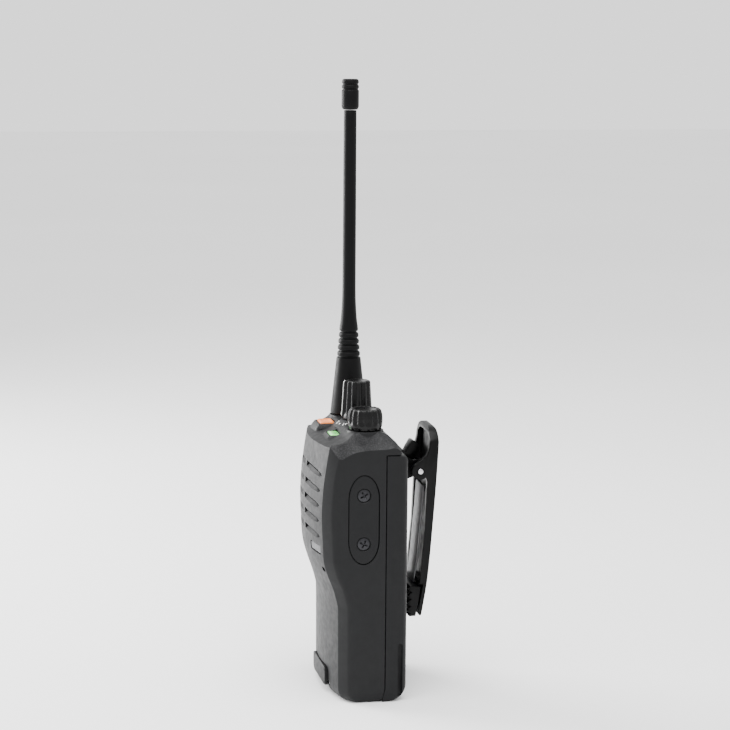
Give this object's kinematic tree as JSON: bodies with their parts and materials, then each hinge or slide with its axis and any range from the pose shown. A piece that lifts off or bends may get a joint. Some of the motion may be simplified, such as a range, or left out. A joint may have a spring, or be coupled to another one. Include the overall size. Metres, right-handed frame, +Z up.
{
  "type": "portable two-way radio",
  "caption": "Handheld two-way radio with whip antenna, channel and volume knobs, orange emergency key, push-to-talk keys, slide-off battery and sprung belt clip.",
  "frame": {"origin": "on the base of the case, on the centre plane, 2 mm in front of its joint with the battery", "axes": "+X to the side with the accessory cover, -Y towards the speaker, +Z up along the antenna"},
  "size_m": [0.0593, 0.0524, 0.244],
  "materials": {
    "case_plastic": "fine textured",
    "dark_plastic": "satin",
    "knob_plastic": "semi gloss",
    "antenna_rubber": "matte",
    "key_rubber": "matte",
    "orange_plastic": "satin",
    "green_lens": "clear tinted",
    "bright_steel": "bright",
    "dark_steel": "dark",
    "contact_brass": "polished",
    "cast_aluminium": "cast",
    "circuit_board": "satin",
    "cell_wrap": "wrapped",
    "felt": "felt"
  },
  "bodies": {
    "radio": {"front_case": "case_plastic", "die_cast_chassis": "cast_aluminium", "main_seal": "key_rubber", "main_board": "circuit_board", "rf_shield": "bright_steel", "speaker_frame": "dark_steel", "speaker_magnet": "dark_steel", "speaker_cone": "dark_plastic", "speaker_felt": "felt", "microphone": "bright_steel", "antenna_socket": "contact_brass", "channel_encoder": "dark_plastic", "volume_control": "dark_plastic", "emergency_switch": "dark_plastic", "led_window": "green_lens", "accessory_cover": "case_plastic", "accessory_screw_upper": "dark_steel", "accessory_screw_lower": "dark_steel", "accessory_jack": "dark_plastic", "side_switch_board": "circuit_board", "battery_connector": "dark_plastic", "spring_contact_1": "contact_brass", "spring_contact_2": "contact_brass", "spring_contact_3": "contact_brass", "chassis_screw_1": "bright_steel", "chassis_screw_2": "bright_steel", "chassis_screw_3": "bright_steel", "chassis_screw_4": "bright_steel", "model_badge": "dark_plastic", "latch_pin": "bright_steel"},
    "antenna": {"antenna_whip": "antenna_rubber", "antenna_cap": "antenna_rubber", "antenna_plug": "contact_brass"},
    "channel_selector": {"channel_knob": "knob_plastic", "channel_shaft": "cast_aluminium"},
    "volume_selector": {"volume_knob": "knob_plastic", "volume_shaft": "cast_aluminium"},
    "emergency_key": {"emergency_button": "orange_plastic"},
    "ptt_key": {"ptt_button": "key_rubber"},
    "upper_key": {"upper_side_key": "key_rubber"},
    "lower_key": {"lower_side_key": "key_rubber"},
    "latch": {"battery_latch": "dark_plastic"},
    "bolt": {"latch_bolt": "bright_steel"},
    "battery": {"battery_case": "case_plastic", "battery_lid": "dark_plastic", "battery_cell_1": "cell_wrap", "battery_cell_2": "cell_wrap", "protection_board": "circuit_board", "battery_contact_1": "contact_brass", "battery_contact_2": "contact_brass", "battery_contact_3": "contact_brass", "clip_bracket": "dark_plastic", "clip_screw_1": "bright_steel", "clip_screw_2": "bright_steel", "clip_pin": "bright_steel", "clip_spring": "bright_steel"},
    "clip": {"clip_lever": "dark_plastic", "clip_leaf": "dark_steel", "clip_grip_pad": "key_rubber"}
  },
  "joints": [
    {"name": "antenna_unscrew", "type": "hinge", "parent": "radio", "child": "antenna", "pos_m": [-0.019, -0.003, 0.108], "axis": [0, 0, 1], "range_deg": [0, 720]},
    {"name": "channel_turn", "type": "hinge", "parent": "radio", "child": "channel_selector", "pos_m": [0, -0.0028, 0.11], "axis": [0, 0, 1], "range_deg": [0, 337.5]},
    {"name": "volume_turn", "type": "hinge", "parent": "radio", "child": "volume_selector", "pos_m": [0.017, -0.0032, 0.11], "axis": [0, 0, 1], "range_deg": [0, 270]},
    {"name": "emergency_press", "type": "slide", "parent": "radio", "child": "emergency_key", "axis": [0, 0, -1], "range_m": [0, 0.001], "stiffness_N_per_m": 3000},
    {"name": "ptt_press", "type": "slide", "parent": "radio", "child": "ptt_key", "axis": [1, 0, 0], "range_m": [0, 0.001], "stiffness_N_per_m": 3000},
    {"name": "upper_key_press", "type": "slide", "parent": "radio", "child": "upper_key", "axis": [1, 0, 0], "range_m": [0, 0.0006], "stiffness_N_per_m": 3000},
    {"name": "lower_key_press", "type": "slide", "parent": "radio", "child": "lower_key", "axis": [1, 0, 0], "range_m": [0, 0.0006], "stiffness_N_per_m": 3000},
    {"name": "latch_open", "type": "hinge", "parent": "radio", "child": "latch", "pos_m": [0, -0.0158, 0.0046], "axis": [1, 0, 0], "range_deg": [0, 75]},
    {"name": "bolt_slide", "type": "slide", "parent": "radio", "child": "bolt", "axis": [0, -1, 0], "range_m": [0, 0.003]},
    {"name": "battery_slide", "type": "slide", "parent": "radio", "child": "battery", "axis": [0, 0, -1], "range_m": [0, 0.008]},
    {"name": "clip_open", "type": "hinge", "parent": "battery", "child": "clip", "pos_m": [0, 0.0203, 0.0895], "axis": [1, 0, 0], "range_deg": [0, 20], "stiffness_Nm_per_rad": 1}
  ],
  "couplings": [
    {"joint": "latch_open", "follows": "bolt_slide", "rad_per_m": 436.33}
  ]
}
